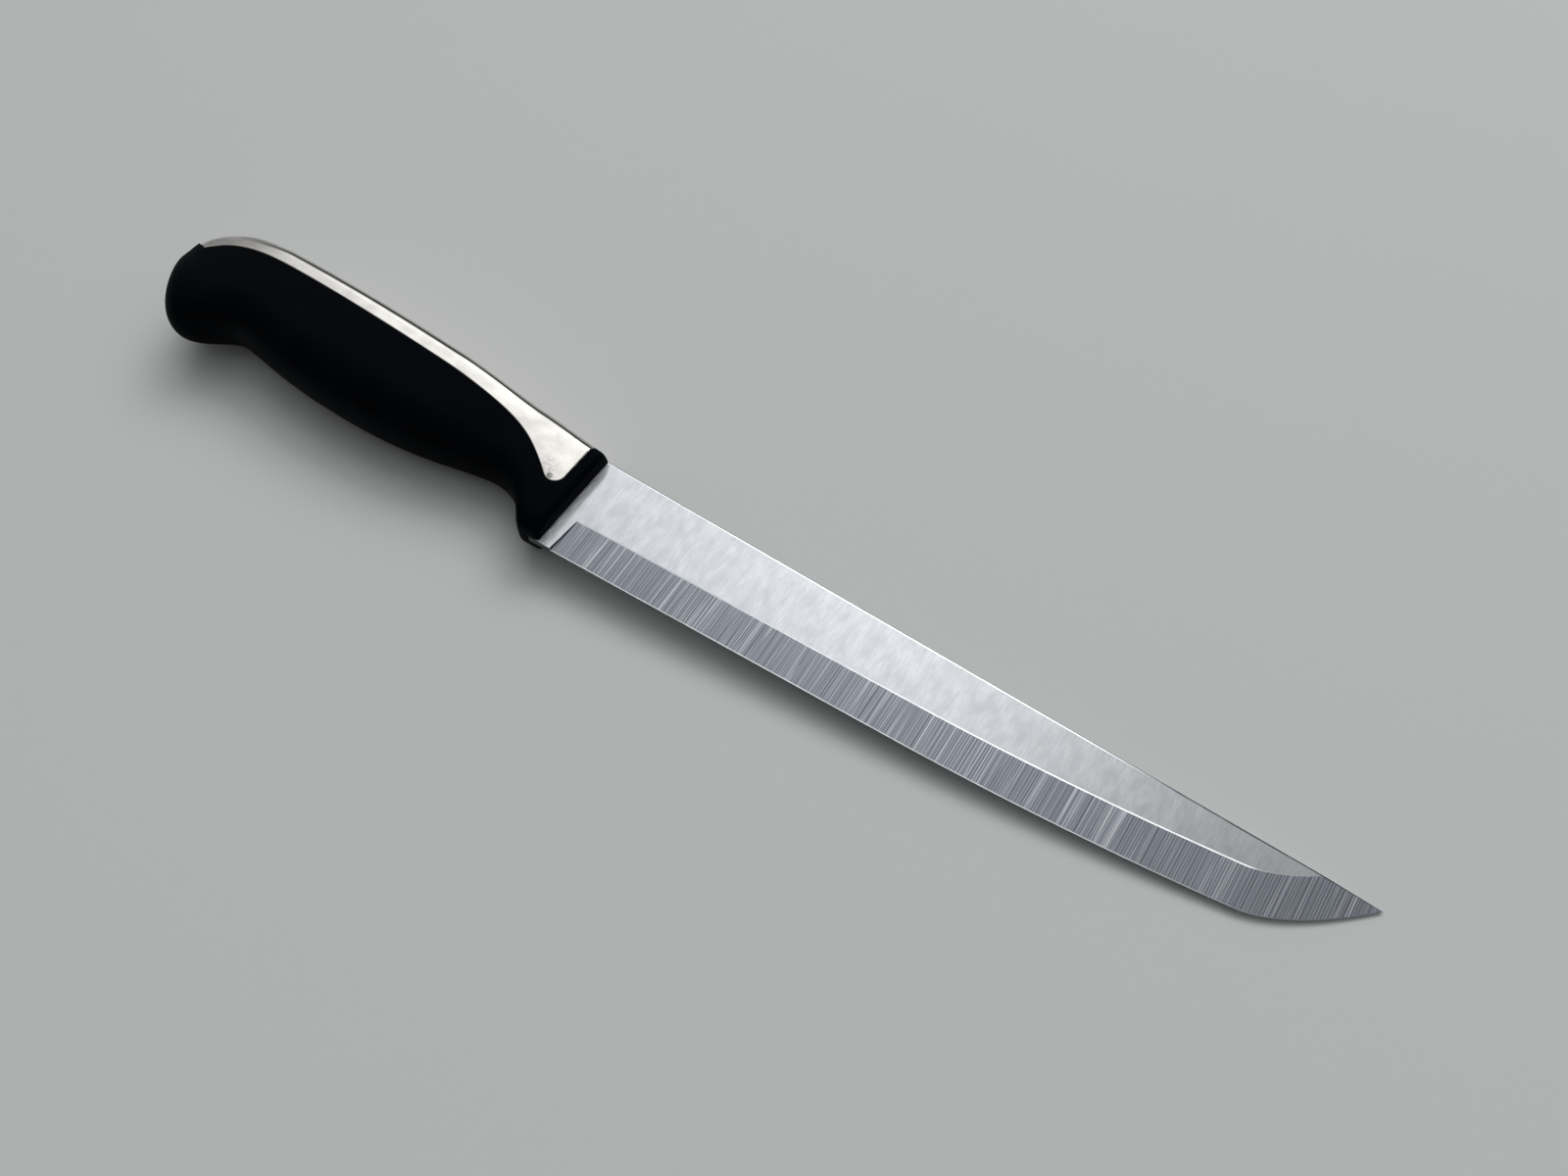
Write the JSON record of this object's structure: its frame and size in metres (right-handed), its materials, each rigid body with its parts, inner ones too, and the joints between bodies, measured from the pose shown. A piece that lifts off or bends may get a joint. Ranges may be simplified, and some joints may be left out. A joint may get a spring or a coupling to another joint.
{
  "type": "carving knife",
  "caption": "Straight-backed carving knife: ground stainless blade with a fixed tang in a black soft-touch handle with finger notch, flared butt and a steel strap along its back.",
  "frame": {"origin": "middle of the floor of the box round the knife as it lies flat on its left side", "axes": "+X from butt to point, +Y from cutting edge to spine, +Z out of the knife's right side, which is up"},
  "size_m": [0.3358, 0.0368, 0.02],
  "materials": {
    "blade_steel": "satin flats over a cross-ground bevel",
    "strap_steel": "fine satin, polished edges",
    "soft_grip": "matte soft-touch moulding",
    "core_plastic": "plain moulded",
    "pin_steel": "ground flush"
  },
  "bodies": {
    "root": {"blade": "blade_steel", "back_strap": "strap_steel", "grip": "soft_grip", "core_right": "core_plastic", "core_left": "core_plastic", "strap_pin": "pin_steel", "tang_rivet_front": "pin_steel", "tang_rivet_rear": "pin_steel"}
  },
  "joints": []
}
